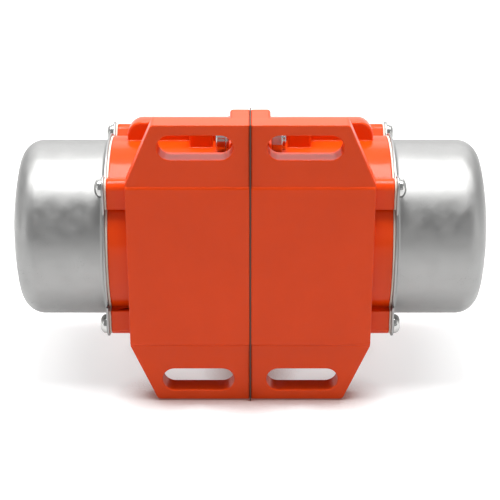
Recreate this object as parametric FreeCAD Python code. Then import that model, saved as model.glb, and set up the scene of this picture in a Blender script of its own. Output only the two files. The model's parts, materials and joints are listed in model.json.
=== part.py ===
import FreeCAD, Part
import math
import os

# A vibration motor with a foot plate, two clamped housing halves and a steel cup over each end.
# X runs along the motor's shaft, Y runs from the mounting sole into the motor, Z is up.
# The origin is the centre of the sole. All sizes are millimetres.

# Foot plate
foot_width = 98.6
foot_height = 122.0
foot_end_width = 77.0
foot_straight_height = 72.0
foot_thickness = 9.6
foot_corner_radius = 2.0
sole_height = 71.0
sole_step = 0.8
sole_edge_radius = 1.8
slot_width = 10.1
slot_length = 29.7
slot_side_margin = 2.15
slot_end_margin = 4.4

# Barrel, which carries the stator and the bearings
barrel_radius = 38.4
barrel_half_length = 57.4
barrel_floor = 3.1
barrel_wall = 5.4
weight_chamber_wall = 4.4
bearing_hub_wall = 5.0
bearing_hub_setback = 1.4
bearing_setback = 3.0
bearing_shoulder_length = 2.0
bearing_shoulder_width = 2.5
end_wall_thickness = 6.0
hub_rib_count = 8
hub_rib_width = 3.0

# Hood over the far half of the barrel
hood_thickness = 8.1
hood_end_setback = 6.4
hood_end_radius = 6.0
hood_front_offset = 1.5
hood_edge_radius = 1.0
step_height = 7.0
step_inner_x = 15.5
step_outer_x = 25.0

# Centre joint: the gasket, the lugs and the bolts that clamp the halves
centre_gasket_thickness = 0.5
centre_gasket_lip = 0.4
lug_half_width = 8.5
lug_height = 11.6
lug_plate_gap = 4.4
lug_back_offset = 8.5
lug_corner_radius = 1.5
near_bolt_front_offset = 10.5
near_bolt_height = 5.0
far_lug_radius = 7.0
far_bolt_height = 6.7
far_bolt_angle = 30.0
clamp_bolt_radius = 3.0
clamp_hole_clearance = 0.3
clamp_head_radius = 5.0
clamp_head_height = 6.0
clamp_socket_flats = 5.0
clamp_socket_depth = 3.0
clamp_nut_flats = 10.0
clamp_nut_height = 4.4
clamp_nut_collar_radius = 4.3
clamp_nut_collar_height = 1.6
clamp_bolt_recess = 0.6
clamp_washer_radius = 5.9
clamp_washer_thickness = 1.4

# Cover flange, its ears and screws
ear_screw_offset = 4.9
ear_screw_angle = 45.0
ear_radius = 4.0
ear_tail_z = 22.7
ear_root_depth = 3.0
near_ear_length = 17.4
far_ear_length = 11.4
flange_ear_margin = 1.0
flange_tail_margin = 1.9
cover_screw_radius = 2.0
cover_screw_length = 12.0
cover_screw_hole_spare = 1.0
cover_screw_head_radius = 4.0
cover_screw_top_radius = 2.8
cover_screw_head_height = 3.1
cover_screw_edge_height = 1.4
cover_screw_socket_depth = 1.4
cover_screw_socket_width = 1.0
cover_screw_socket_span = 4.6
cover_hole_clearance = 0.25
end_gasket_thickness = 0.8

# Steel cup over each end
cover_wall_inset = 1.6
cover_depth = 40.8
cover_sheet = 1.0
cover_corner_radius = 9.0
cover_dome_radius = 130.0
cover_root_bevel = 1.5
cover_inner_corner_steps = 3

# Rotor shaft and its bearings
running_clearance = 0.03
shaft_fit_clearance = 0.01
bearing_outer_radius = 17.5
bearing_bore_radius = 7.5
bearing_width = 11.0
bearing_ring_thickness = 2.6
bearing_seal_thickness = 0.8
bearing_seal_inset = 0.3
ring_groove_width = 1.1
ring_groove_depth = 0.8
ring_thickness = 1.0
ring_radial_width = 2.6
ring_opening = 30.0
shaft_shoulder_height = 1.7
core_seat_height = 0.8
weight_seat_step = 0.5
shaft_end_length = 3.9
shaft_chamfer = 1.0

# Rotor and stator
air_gap = 0.3
rotor_share_of_bore = 0.53
rotor_slot_count = 16
rotor_slot_width = 1.0
rotor_slot_depth = 1.0
end_ring_length = 6.0
end_ring_shaft_gap = 2.0
end_ring_inset = 0.6
stator_slot_count = 18
stator_slot_opening = 1.8
stator_tooth_tip = 1.8
stator_tooth_width = 3.4
stator_back_width = 4.6
slot_liner = 0.25
winding_length = 11.0
winding_end_gap = 4.0
winding_bore_gap = 2.2
winding_wall_gap = 2.5
winding_bevel = 3.0

# Eccentric weights
weight_air = 3.0
weight_thickness = 10.0
weight_hub_radius = 12.0
weight_half_angle = 72.0
weight_standoff = 4.6
weight_gap = 0.5
key_width = 4.0
key_height = 4.0
key_end_margin = 1.0
set_screw_radius = 2.5
set_screw_recess = 0.4
set_screw_socket_flats = 2.5
set_screw_socket_depth = 2.0

# Cable gland on the far side of the right half
gland_x = 27.0
gland_boss_radius = 12.5
gland_boss_height = 2.0
gland_thread_radius = 8.0
gland_thread_length = 7.0
gland_hex_flats = 20.0
gland_hex_height = 5.0
gland_neck_radius = 8.4
gland_neck_length = 10.0
gland_nut_flats = 20.0
gland_nut_hex_length = 8.0
gland_nut_length = 12.0
gland_nut_gap = 1.0
gland_nut_lip = 2.0
gland_bore_radius = 6.4
cable_hole_radius = 4.0
lead_pocket_half_width = 8.5
lead_pocket_wall = 3.5

# Places and sizes that follow from the sizes above
axis_height = barrel_radius + barrel_floor
joint_face_x = centre_gasket_thickness / 2
slot_radius = slot_width / 2
slot_spacing_x = foot_end_width - 2 * slot_side_margin - slot_length
slot_spacing_z = foot_height - 2 * slot_end_margin - slot_width
stator_bore_radius = barrel_radius - barrel_wall
weight_chamber_radius = barrel_radius - weight_chamber_wall
bearing_hub_radius = bearing_outer_radius + bearing_hub_wall
bearing_hub_end_x = barrel_half_length - bearing_hub_setback
bearing_end_x = bearing_hub_end_x - bearing_setback
bearing_face_x = bearing_end_x - bearing_width
end_wall_inner_x = bearing_face_x - bearing_shoulder_length
hood_radius = barrel_radius + hood_thickness
hood_half_length = barrel_half_length - hood_end_setback
hood_front_y = axis_height + hood_front_offset
step_front_y = hood_front_y - step_height
lug_top_z = barrel_radius + lug_height
lug_front_y = foot_thickness + lug_plate_gap
lug_back_y = axis_height + lug_back_offset
near_bolt_y = axis_height - near_bolt_front_offset
near_bolt_z = barrel_radius + near_bolt_height
far_bolt_circle = hood_radius + far_bolt_height
ear_screw_circle = barrel_radius + ear_screw_offset
near_ear_back_x = barrel_half_length - near_ear_length
far_ear_back_x = barrel_half_length - far_ear_length
flange_inner_x = barrel_half_length + end_gasket_thickness
flange_outer_x = flange_inner_x + cover_sheet
cover_radius = barrel_radius - cover_wall_inset
cover_end_x = flange_inner_x + cover_depth
shaft_shoulder_radius = bearing_bore_radius + shaft_shoulder_height
core_seat_radius = shaft_shoulder_radius + core_seat_height
weight_seat_radius = bearing_bore_radius - weight_seat_step
weight_radius = weight_chamber_radius - weight_air
fixed_weight_x = barrel_half_length + weight_standoff
adjustable_weight_x = fixed_weight_x + weight_thickness + weight_gap
shaft_ring_x = adjustable_weight_x + weight_thickness + weight_gap
shaft_end_x = shaft_ring_x + ring_groove_width + shaft_end_length
core_half_length = end_wall_inner_x - winding_end_gap - winding_length
winding_end_x = core_half_length + winding_length
end_ring_x = core_half_length + end_ring_length
rotor_core_radius = rotor_share_of_bore * stator_bore_radius
stator_inner_radius = rotor_core_radius + air_gap
stator_slot_inner_radius = stator_inner_radius + stator_tooth_tip
stator_slot_outer_radius = stator_bore_radius - stator_back_width
winding_inner_radius = stator_inner_radius + winding_bore_gap
winding_outer_radius = stator_bore_radius - winding_wall_gap
gland_face_y = axis_height + hood_radius + gland_boss_height
gland_hex_end_y = gland_face_y + gland_hex_height
gland_neck_end_y = gland_hex_end_y + gland_neck_length
gland_nut_y = gland_hex_end_y + gland_nut_gap
gland_nut_end_y = gland_nut_y + gland_nut_length

X_AXIS = FreeCAD.Vector(1, 0, 0)
Y_AXIS = FreeCAD.Vector(0, 1, 0)
Z_AXIS = FreeCAD.Vector(0, 0, 1)
ORIGIN = FreeCAD.Vector(0, 0, 0)
MOTOR_AXIS = FreeCAD.Vector(0, axis_height, 0)
HEXAGON_SIDES = 6

# Cutting shapes reach this far, past every face of the motor.
beyond = 4 * foot_height
# An edge counts as lying in a plane when it is this near.
near = 0.01


def x_cylinder(radius, x_from, x_to, y=axis_height, z=0.0):
    return Part.makeCylinder(radius, x_to - x_from, FreeCAD.Vector(x_from, y, z), X_AXIS)


def y_cylinder(radius, y_from, y_to, x, z=0.0):
    return Part.makeCylinder(radius, y_to - y_from, FreeCAD.Vector(x, y_from, z), Y_AXIS)


def x_tube(outer_radius, inner_radius, x_from, x_to, y=axis_height, z=0.0):
    tube = x_cylinder(outer_radius, x_from, x_to, y, z)
    return tube.cut(x_cylinder(inner_radius, x_from, x_to, y, z))


def y_tube(outer_radius, inner_radius, y_from, y_to, x):
    tube = y_cylinder(outer_radius, y_from, y_to, x)
    return tube.cut(y_cylinder(inner_radius, y_from, y_to, x))


def block(x_from, x_to, y_from, y_to, z_from, z_to):
    corner = FreeCAD.Vector(x_from, y_from, z_from)
    return Part.makeBox(x_to - x_from, y_to - y_from, z_to - z_from, corner)


def mirror_x(shape):
    return shape.mirror(ORIGIN, X_AXIS)


def mirror_z(shape):
    return shape.mirror(ORIGIN, Z_AXIS)


def mirror_far(shape):
    return shape.mirror(MOTOR_AXIS, Y_AXIS)


def both_ends(shape):
    return [shape, mirror_x(shape)]


def both_heights(shape):
    return [shape, mirror_z(shape)]


def prism(corners, travel):
    face = Part.Face(Part.makePolygon(corners + corners[:1]))
    return face.extrude(travel)


def prism_along_x(yz_points, x_from, x_to):
    corners = [FreeCAD.Vector(x_from, y, z) for y, z in yz_points]
    return prism(corners, FreeCAD.Vector(x_to - x_from, 0, 0))


def hexagonal_prism(flats, start, travel):
    # A hexagon across the travel, whose first corner points along Y, or along X if the travel does not.
    first = Y_AXIS if travel.x else X_AXIS
    corner = first * (flats / math.sqrt(3))
    turns = [FreeCAD.Rotation(travel, index * 360.0 / HEXAGON_SIDES) for index in range(HEXAGON_SIDES)]
    return prism([start + turn.multVec(corner) for turn in turns], travel)


def turned(edges):
    # A solid of revolution about the motor's axis from edges in the plane above it.
    face = Part.Face(Part.Wire(Part.sortEdges(edges)[0]))
    return face.revolve(MOTOR_AXIS, X_AXIS, 360)


def profile_point(x, radius):
    return FreeCAD.Vector(x, axis_height, radius)


def profile_line(start, end):
    return Part.makeLine(profile_point(*start), profile_point(*end))


def profile_path(points):
    return [profile_line(a, b) for a, b in zip(points, points[1:])]


def point_on_arc(centre, radius, degrees):
    angle = math.radians(degrees)
    return (centre[0] + radius * math.cos(angle), centre[1] + radius * math.sin(angle))


def profile_arc(centre, radius, start_degrees, end_degrees):
    middle = (start_degrees + end_degrees) / 2
    points = [profile_point(*point_on_arc(centre, radius, degrees))
              for degrees in (start_degrees, middle, end_degrees)]
    return Part.Arc(*points).toShape()


def around_axis(shape, degrees):
    turned_copy = shape.copy()
    turned_copy.rotate(MOTOR_AXIS, X_AXIS, degrees)
    return turned_copy


def ring_of(shape, count):
    return [around_axis(shape, index * 360.0 / count) for index in range(count)]


def off_axis(circle, degrees):
    # A place on a circle round the motor's axis, measured from the far side towards the top.
    angle = math.radians(degrees)
    return axis_height + circle * math.cos(angle), circle * math.sin(angle)


def ear_screw_places():
    far_y, top_z = off_axis(ear_screw_circle, ear_screw_angle)
    near_y = 2 * axis_height - far_y
    return [(near_y, -top_z), (near_y, top_z), (far_y, -top_z), (far_y, top_z)]


def clamp_bolt_places():
    far_y, far_z = off_axis(far_bolt_circle, far_bolt_angle)
    return [(near_bolt_y, near_bolt_z), (near_bolt_y, -near_bolt_z), (far_y, far_z), (far_y, -far_z)]


# Housing halves

def foot_outline():
    half = foot_height / 2
    straight = foot_straight_height / 2
    outline = [(joint_face_x, -half), (foot_end_width / 2, -half), (foot_width / 2, -straight),
               (foot_width / 2, straight), (foot_end_width / 2, half), (joint_face_x, half)]
    return prism([FreeCAD.Vector(x, 0, z) for x, z in outline], FreeCAD.Vector(0, foot_thickness, 0))


def pad_cutter():
    # Takes the bolting pads back from the sole and leaves the sole's rounded edge.
    run = math.sqrt(2 * sole_edge_radius * sole_step - sole_step ** 2)
    edge_z = sole_height / 2 - run
    bend = math.asin(run / sole_edge_radius) / 2
    middle = FreeCAD.Vector(0, sole_edge_radius * (1 - math.cos(bend)),
                            edge_z + sole_edge_radius * math.sin(bend))
    outline = [(0, edge_z), (-sole_step, edge_z), (-sole_step, beyond), (sole_step, beyond),
               (sole_step, sole_height / 2)]
    corners = [FreeCAD.Vector(0, y, z) for y, z in outline]
    edges = [Part.makeLine(a, b) for a, b in zip(corners, corners[1:])]
    edges.append(Part.Arc(corners[-1], middle, corners[0]).toShape())
    face = Part.Face(Part.Wire(Part.sortEdges(edges)[0]))
    return face.extrude(FreeCAD.Vector(beyond, 0, 0))


def foot_slot():
    half_straight = slot_length / 2 - slot_radius
    middle_x = slot_spacing_x / 2
    middle_z = slot_spacing_z / 2
    straight = block(middle_x - half_straight, middle_x + half_straight, -beyond, beyond,
                     middle_z - slot_radius, middle_z + slot_radius)
    ends = [y_cylinder(slot_radius, -beyond, beyond, middle_x + side * half_straight, middle_z)
            for side in (-1, 1)]
    room = straight.multiFuse(ends).removeSplitter()
    return room.common(block(0, beyond, -foot_thickness, 2 * foot_thickness, 0, beyond))


def foot_half():
    plate = foot_outline()
    outer_corners = [edge for edge in plate.Edges
                     if edge.BoundBox.YLength > near and edge.BoundBox.XMin > joint_face_x + near]
    plate = plate.makeFillet(foot_corner_radius, outer_corners)
    return plate.cut(Part.makeCompound(both_heights(pad_cutter())))


def ear(lobe_radius, tail_z, x_from, x_to):
    # One screw ear: a lobe round the screw, a flat facing the sole's way with a sharp tail,
    # and a flank that runs radially into the barrel.
    angle = math.radians(ear_screw_angle)
    out_y, out_z = -math.cos(angle), math.sin(angle)
    screw_y = axis_height + ear_screw_circle * out_y
    screw_z = ear_screw_circle * out_z
    root_radius = barrel_radius - ear_root_depth
    root_y = axis_height - math.sqrt(root_radius ** 2 - tail_z ** 2)
    flank = (screw_y + lobe_radius * out_z, screw_z - lobe_radius * out_y)
    inward = ear_screw_circle - root_radius
    flank_root = (flank[0] - inward * out_y, flank[1] - inward * out_z)
    outline = [(screw_y - lobe_radius, screw_z), (screw_y - lobe_radius, tail_z), (root_y, tail_z),
               flank_root, flank, (screw_y, screw_z)]
    wedge = prism_along_x(outline, x_from, x_to)
    return wedge.fuse(x_cylinder(lobe_radius, x_from, x_to, screw_y, screw_z))


def four_ears(lobe_radius, tail_z, x_near, x_far, x_to):
    near_ear = ear(lobe_radius, tail_z, x_near, x_to)
    far_ear = mirror_far(ear(lobe_radius, tail_z, x_far, x_to))
    return both_heights(near_ear) + both_heights(far_ear)


def hood():
    straight_end = hood_half_length - hood_end_radius
    flat_radius = hood_radius - hood_end_radius
    outline = profile_path([(hood_half_length, flat_radius), (hood_half_length, 0), (joint_face_x, 0),
                            (joint_face_x, hood_radius), (straight_end, hood_radius)])
    corner = profile_arc((straight_end, flat_radius), hood_end_radius, 90, 0)
    shell = turned(outline + [corner])
    shell = shell.cut(block(-beyond, beyond, -beyond, hood_front_y, -beyond, beyond))
    rim = [edge for edge in shell.Edges
           if edge.BoundBox.YMax < hood_front_y + near and edge.BoundBox.XMax > joint_face_x + near
           and abs(edge.CenterOfMass.z) > near]
    return shell.makeFillet(hood_edge_radius, rim)


def hood_step():
    # The hood's front wall stands forward beside each lug. The step's root lies inside the hood.
    top = math.sqrt(hood_radius ** 2 - hood_front_offset ** 2) - hood_edge_radius
    step = block(step_inner_x, step_outer_x, step_front_y, hood_front_y + 2 * hood_edge_radius, 0, top)
    front = [edge for edge in step.Edges
             if edge.BoundBox.YMax < step_front_y + near and edge.BoundBox.ZMax > near]
    return step.makeFillet(hood_edge_radius, front)


def near_lug():
    lug = block(joint_face_x, lug_half_width, lug_front_y, lug_back_y, 0, lug_top_z)
    outer = [edge for edge in lug.Edges
             if edge.BoundBox.XMax > joint_face_x + near and edge.BoundBox.ZMax > lug_top_z - near]
    return lug.makeFillet(lug_corner_radius, outer)


def far_lug(x_from, x_to):
    # A lobe round the bolt on a web that stands on the barrel.
    angle = math.radians(far_bolt_angle)
    bolt_y, bolt_z = off_axis(far_bolt_circle, far_bolt_angle)
    root_y, root_z = off_axis(barrel_radius, far_bolt_angle)
    across_y, across_z = -far_lug_radius * math.sin(angle), far_lug_radius * math.cos(angle)
    web = prism_along_x([(bolt_y + across_y, bolt_z + across_z), (root_y + across_y, root_z + across_z),
                         (root_y - across_y, root_z - across_z),
                         (bolt_y - across_y, bolt_z - across_z)], x_from, x_to)
    return web.fuse(x_cylinder(far_lug_radius, x_from, x_to, bolt_y, bolt_z))


def weight_side_pocket():
    # The ring between the bearing hub and the rim, crossed by ribs.
    wall_x = end_wall_inner_x + end_wall_thickness
    pocket = x_tube(weight_chamber_radius, bearing_hub_radius, wall_x, barrel_half_length)
    rib = block(wall_x, bearing_hub_end_x, axis_height - hub_rib_width / 2,
                axis_height + hub_rib_width / 2, bearing_hub_radius - hub_rib_width,
                weight_chamber_radius + hub_rib_width)
    pocket = pocket.cut(Part.makeCompound(ring_of(rib, hub_rib_count)))
    return pocket.fuse(x_cylinder(weight_chamber_radius, bearing_hub_end_x, barrel_half_length))


def bearing_bore():
    seat_radius = bearing_outer_radius + running_clearance
    seat = x_cylinder(seat_radius, bearing_face_x, bearing_hub_end_x)
    groove = x_cylinder(seat_radius + ring_groove_depth, bearing_end_x,
                        bearing_end_x + ring_groove_width)
    shoulder = x_cylinder(bearing_outer_radius - bearing_shoulder_width, end_wall_inner_x,
                          bearing_face_x)
    return seat.multiFuse([groove, shoulder])


def lead_room():
    # The room for the leads between the winding and the cable gland, and the gland's thread.
    pocket = block(gland_x - lead_pocket_half_width, gland_x + lead_pocket_half_width, axis_height,
                   axis_height + hood_radius - lead_pocket_wall, -lead_pocket_half_width,
                   lead_pocket_half_width)
    return [pocket, y_cylinder(gland_thread_radius + running_clearance, axis_height, gland_face_y, gland_x)]


def housing_half(with_gland):
    pieces = [x_cylinder(barrel_radius, joint_face_x, barrel_half_length), hood()]
    pieces += four_ears(ear_radius, ear_tail_z, near_ear_back_x, far_ear_back_x, barrel_half_length)
    for piece in (near_lug(), hood_step(), far_lug(joint_face_x, lug_half_width)):
        pieces += both_heights(piece)
    holes = [x_cylinder(stator_bore_radius, joint_face_x, end_wall_inner_x), weight_side_pocket(),
             bearing_bore()]
    holes += both_heights(foot_slot())
    for y, z in clamp_bolt_places():
        holes.append(x_cylinder(clamp_bolt_radius + clamp_hole_clearance, 0, lug_half_width, y, z))
    hole_end_x = flange_outer_x - cover_screw_length - cover_screw_hole_spare
    for y, z in ear_screw_places():
        holes.append(x_cylinder(cover_screw_radius + running_clearance, hole_end_x,
                                barrel_half_length, y, z))
    if with_gland:
        pieces.append(y_cylinder(gland_boss_radius, axis_height, gland_face_y, gland_x))
        holes += lead_room()
    casting = foot_half().multiFuse(pieces)
    return casting.cut(Part.makeCompound(holes)).removeSplitter()


# Gaskets and covers

def centre_gasket():
    # Follows the joint face of the halves and stands a little proud at its top and bottom.
    x_from, x_to = -joint_face_x, joint_face_x
    foot_top = foot_height / 2 + centre_gasket_lip
    lug_top = lug_top_z + centre_gasket_lip
    plate = block(x_from, x_to, 0, foot_thickness, -foot_top, foot_top)
    hood_disc = x_cylinder(hood_radius, x_from, x_to)
    hood_disc = hood_disc.cut(block(-beyond, beyond, -beyond, hood_front_y, -beyond, beyond))
    pieces = [block(x_from, x_to, lug_front_y, lug_back_y, -lug_top, lug_top), hood_disc,
              x_cylinder(barrel_radius, x_from, x_to)]
    pieces += both_heights(far_lug(x_from, x_to))
    holes = [x_cylinder(stator_bore_radius, x_from, x_to)]
    for y, z in clamp_bolt_places():
        holes.append(x_cylinder(clamp_bolt_radius + clamp_hole_clearance, x_from, x_to, y, z))
    return plate.multiFuse(pieces).cut(Part.makeCompound(holes)).removeSplitter()


def end_gasket():
    sheet = x_cylinder(barrel_radius, barrel_half_length, flange_inner_x)
    sheet = sheet.multiFuse(four_ears(ear_radius, ear_tail_z, barrel_half_length, barrel_half_length,
                                      flange_inner_x))
    holes = [x_cylinder(weight_chamber_radius, barrel_half_length, flange_inner_x)]
    for y, z in ear_screw_places():
        holes.append(x_cylinder(cover_screw_radius + cover_hole_clearance, barrel_half_length,
                                flange_inner_x, y, z))
    return sheet.cut(Part.makeCompound(holes)).removeSplitter()


def cover_cup():
    # Outside, a round corner touches the wall and the slightly domed end tangentially.
    # Inside, which nothing shows, flat steps follow the same corner and dome one sheet deeper.
    reach = cover_dome_radius - cover_corner_radius
    corner_r = cover_radius - cover_corner_radius
    dome_x = cover_end_x - cover_dome_radius
    corner = (dome_x + math.sqrt(reach ** 2 - corner_r ** 2), corner_r)
    lean = math.degrees(math.asin(corner_r / reach))
    flange_radius = barrel_radius + flange_ear_margin
    inner_wall = cover_radius - cover_sheet
    inner_bevel = cover_root_bevel - (math.sqrt(2) - 1) * cover_sheet
    outline = profile_path([(cover_end_x - cover_sheet, 0), (cover_end_x, 0)])
    outline.append(profile_arc((dome_x, 0), cover_dome_radius, 0, lean))
    outline.append(profile_arc(corner, cover_corner_radius, lean, 90))
    turn = (90 - lean) / cover_inner_corner_steps
    inner_corner = [point_on_arc(corner, cover_corner_radius - cover_sheet, 90 - index * turn)
                    for index in range(cover_inner_corner_steps + 1)]
    outline += profile_path([(corner[0], cover_radius),
                             (flange_outer_x + cover_root_bevel, cover_radius),
                             (flange_outer_x, cover_radius + cover_root_bevel),
                             (flange_outer_x, flange_radius), (flange_inner_x, flange_radius),
                             (flange_inner_x, inner_wall + inner_bevel),
                             (flange_inner_x + inner_bevel, inner_wall)]
                            + inner_corner + [(cover_end_x - cover_sheet, 0)])
    return turned(outline)


def cover():
    lobe = ear_radius + flange_ear_margin
    ears = four_ears(lobe, ear_tail_z - flange_tail_margin, flange_inner_x, flange_inner_x,
                     flange_outer_x)
    inside = x_cylinder(barrel_radius, flange_inner_x, flange_outer_x)
    shell = cover_cup().multiFuse([piece.cut(inside) for piece in ears])
    holes = [x_cylinder(cover_screw_radius + cover_hole_clearance, flange_inner_x, flange_outer_x, y, z)
             for y, z in ear_screw_places()]
    return shell.cut(Part.makeCompound(holes)).removeSplitter()


def cover_screw(y, z):
    # A pan head with a sloping shoulder and a cross recess, over a plain shank.
    edge_x = flange_outer_x + cover_screw_edge_height
    top_x = flange_outer_x + cover_screw_head_height
    shoulder = Part.makeCone(cover_screw_head_radius, cover_screw_top_radius, top_x - edge_x,
                             FreeCAD.Vector(edge_x, y, z), X_AXIS)
    head = x_cylinder(cover_screw_head_radius, flange_outer_x, edge_x, y, z).fuse(shoulder)
    arm = cover_screw_socket_span / 2
    half = cover_screw_socket_width / 2
    floor_x = top_x - cover_screw_socket_depth
    cross = block(floor_x, top_x, y - arm, y + arm, z - half, z + half)
    cross = cross.fuse(block(floor_x, top_x, y - half, y + half, z - arm, z + arm))
    shank = x_cylinder(cover_screw_radius, flange_outer_x - cover_screw_length, flange_outer_x, y, z)
    return head.cut(cross).fuse(shank)


# Clamp bolts through the lugs

def clamp_bolt(y, z):
    # A round head with a hexagonal socket, on the left. The plain end stops inside the nut's collar.
    head_face = -lug_half_width - clamp_washer_thickness
    head_top = head_face - clamp_head_height
    head = x_cylinder(clamp_head_radius, head_top, head_face, y, z)
    socket = hexagonal_prism(clamp_socket_flats, FreeCAD.Vector(head_top, y, z),
                             FreeCAD.Vector(clamp_socket_depth, 0, 0))
    end_x = lug_half_width + clamp_nut_height + clamp_nut_collar_height - clamp_bolt_recess
    return head.cut(socket).fuse(x_cylinder(clamp_bolt_radius, head_face, end_x, y, z))


def clamp_nut(y, z):
    # A locking nut, whose round collar stands past the hexagon.
    collar_x = lug_half_width + clamp_nut_height
    end_x = collar_x + clamp_nut_collar_height
    hexagon = hexagonal_prism(clamp_nut_flats, FreeCAD.Vector(lug_half_width, y, z),
                              FreeCAD.Vector(clamp_nut_height, 0, 0))
    nut = hexagon.fuse(x_cylinder(clamp_nut_collar_radius, collar_x, end_x, y, z))
    return nut.cut(x_cylinder(clamp_bolt_radius, lug_half_width, end_x, y, z))


def clamp_washer(y, z):
    return x_tube(clamp_washer_radius, clamp_bolt_radius + clamp_hole_clearance,
                  -lug_half_width - clamp_washer_thickness, -lug_half_width, y, z)


# Bearings

def bearing_outer_ring():
    return x_tube(bearing_outer_radius, bearing_outer_radius - bearing_ring_thickness, bearing_face_x,
                  bearing_end_x)


def bearing_inner_ring():
    return x_tube(bearing_bore_radius + bearing_ring_thickness, bearing_bore_radius + shaft_fit_clearance,
                  bearing_face_x, bearing_end_x)


def bearing_seals():
    outer = bearing_outer_radius - bearing_ring_thickness
    inner = bearing_bore_radius + bearing_ring_thickness + running_clearance
    near_x = bearing_face_x + bearing_seal_inset
    far_x = bearing_end_x - bearing_seal_inset - bearing_seal_thickness
    return [x_tube(outer, inner, x, x + bearing_seal_thickness) for x in (near_x, far_x)]


def open_ring(outer_radius, inner_radius, x_from):
    # A spring ring with a gap at its top.
    x_to = x_from + ring_thickness
    half_gap = math.radians(ring_opening / 2)
    side_y, top_z = beyond * math.sin(half_gap), beyond * math.cos(half_gap)
    gap = prism_along_x([(axis_height, 0), (axis_height - side_y, top_z), (axis_height + side_y, top_z)],
                        x_from, x_to)
    return x_tube(outer_radius, inner_radius, x_from, x_to).cut(gap)


def bearing_circlip():
    outer = bearing_outer_radius + ring_groove_depth
    return open_ring(outer, outer - ring_radial_width, bearing_end_x)


# Rotor

def shaft():
    groove_radius = weight_seat_radius - ring_groove_depth
    groove_end_x = shaft_ring_x + ring_groove_width
    outline = profile_path([
        (0, 0), (0, core_seat_radius), (end_ring_x, core_seat_radius),
        (end_ring_x, shaft_shoulder_radius), (bearing_face_x, shaft_shoulder_radius),
        (bearing_face_x, bearing_bore_radius), (fixed_weight_x, bearing_bore_radius),
        (fixed_weight_x, weight_seat_radius), (shaft_ring_x, weight_seat_radius),
        (shaft_ring_x, groove_radius), (groove_end_x, groove_radius), (groove_end_x, weight_seat_radius),
        (shaft_end_x - shaft_chamfer, weight_seat_radius),
        (shaft_end_x, weight_seat_radius - shaft_chamfer), (shaft_end_x, 0), (0, 0)])
    half = turned(outline).cut(key_block())
    return half.fuse(mirror_x(half)).removeSplitter()


def key_block():
    # The key lies on the shaft's upper side, opposite the weights' heavy side.
    floor_z = weight_seat_radius - key_height / 2
    return block(fixed_weight_x + key_end_margin, fixed_weight_x + weight_thickness - key_end_margin,
                 axis_height - key_width / 2, axis_height + key_width / 2, floor_z,
                 floor_z + key_height)


def spacer():
    return x_tube(shaft_shoulder_radius, bearing_bore_radius + running_clearance, bearing_end_x,
                  fixed_weight_x)


def rotor_core():
    core = x_tube(rotor_core_radius, core_seat_radius, -core_half_length, core_half_length)
    slot = block(-core_half_length, core_half_length, axis_height - rotor_slot_width / 2,
                 axis_height + rotor_slot_width / 2, rotor_core_radius - rotor_slot_depth,
                 rotor_core_radius + rotor_slot_depth)
    return core.cut(Part.makeCompound(ring_of(slot, rotor_slot_count)))


def rotor_end_ring():
    outer = rotor_core_radius - end_ring_inset
    return x_tube(outer, core_seat_radius + end_ring_shaft_gap, core_half_length, end_ring_x)


def eccentric(x_from):
    # A hub with a heavy sector that hangs down.
    x_to = x_from + weight_thickness
    half_angle = math.radians(weight_half_angle)
    side_y = beyond * math.tan(half_angle)
    wedge = prism_along_x([(axis_height, 0), (axis_height - side_y, -beyond),
                           (axis_height + side_y, -beyond)], x_from, x_to)
    sector = x_cylinder(weight_radius, x_from, x_to).common(wedge)
    body = sector.fuse(x_cylinder(weight_hub_radius, x_from, x_to))
    return body.cut(x_cylinder(weight_seat_radius + running_clearance, x_from, x_to)).removeSplitter()


def fixed_weight():
    keyway = block(fixed_weight_x, fixed_weight_x + weight_thickness, axis_height - key_width / 2,
                   axis_height + key_width / 2, 0, weight_seat_radius + key_height / 2)
    return eccentric(fixed_weight_x).cut(keyway)


def set_screw_cylinder(radius, bottom_z, top_z):
    middle = FreeCAD.Vector(adjustable_weight_x + weight_thickness / 2, axis_height, bottom_z)
    return Part.makeCylinder(radius, top_z - bottom_z, middle, Z_AXIS)


def adjustable_weight():
    hole = set_screw_cylinder(set_screw_radius + running_clearance, weight_seat_radius,
                              weight_hub_radius + running_clearance)
    return eccentric(adjustable_weight_x).cut(hole)


def set_screw():
    # Its point lies just off the shaft, so that the weight can be turned for another force.
    top_z = weight_hub_radius - set_screw_recess
    screw = set_screw_cylinder(set_screw_radius, weight_seat_radius + running_clearance, top_z)
    socket = hexagonal_prism(set_screw_socket_flats,
                             FreeCAD.Vector(adjustable_weight_x + weight_thickness / 2, axis_height, top_z),
                             FreeCAD.Vector(0, 0, -set_screw_socket_depth))
    return screw.cut(socket)


def shaft_circlip():
    inner = weight_seat_radius - ring_groove_depth
    return open_ring(inner + ring_radial_width, inner, shaft_ring_x)


# Stator

def stator_slot(margin):
    # A slot between two teeth with parallel flanks, symmetric about the upward direction.
    pitch = math.pi / stator_slot_count
    half_tooth = stator_tooth_width / 2

    def half_width(radius):
        return (radius * math.sin(pitch) - half_tooth) / math.cos(pitch) - margin

    low = stator_slot_inner_radius + margin
    high = stator_slot_outer_radius - margin
    return prism_along_x([(axis_height - half_width(low), low), (axis_height + half_width(low), low),
                          (axis_height + half_width(high), high), (axis_height - half_width(high), high)],
                         -core_half_length, core_half_length)


def stator_core():
    core = x_tube(stator_bore_radius, stator_inner_radius, -core_half_length, core_half_length)
    mouth = block(-core_half_length, core_half_length, axis_height - stator_slot_opening / 2,
                  axis_height + stator_slot_opening / 2, rotor_core_radius, stator_slot_inner_radius)
    return core.cut(Part.makeCompound(ring_of(stator_slot(0).fuse(mouth), stator_slot_count)))


def end_turns():
    bevel_x = winding_end_x - winding_bevel
    return turned(profile_path([
        (core_half_length, winding_inner_radius), (winding_end_x, winding_inner_radius),
        (winding_end_x, winding_outer_radius - winding_bevel), (bevel_x, winding_outer_radius),
        (core_half_length, winding_outer_radius), (core_half_length, winding_inner_radius)]))


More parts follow.
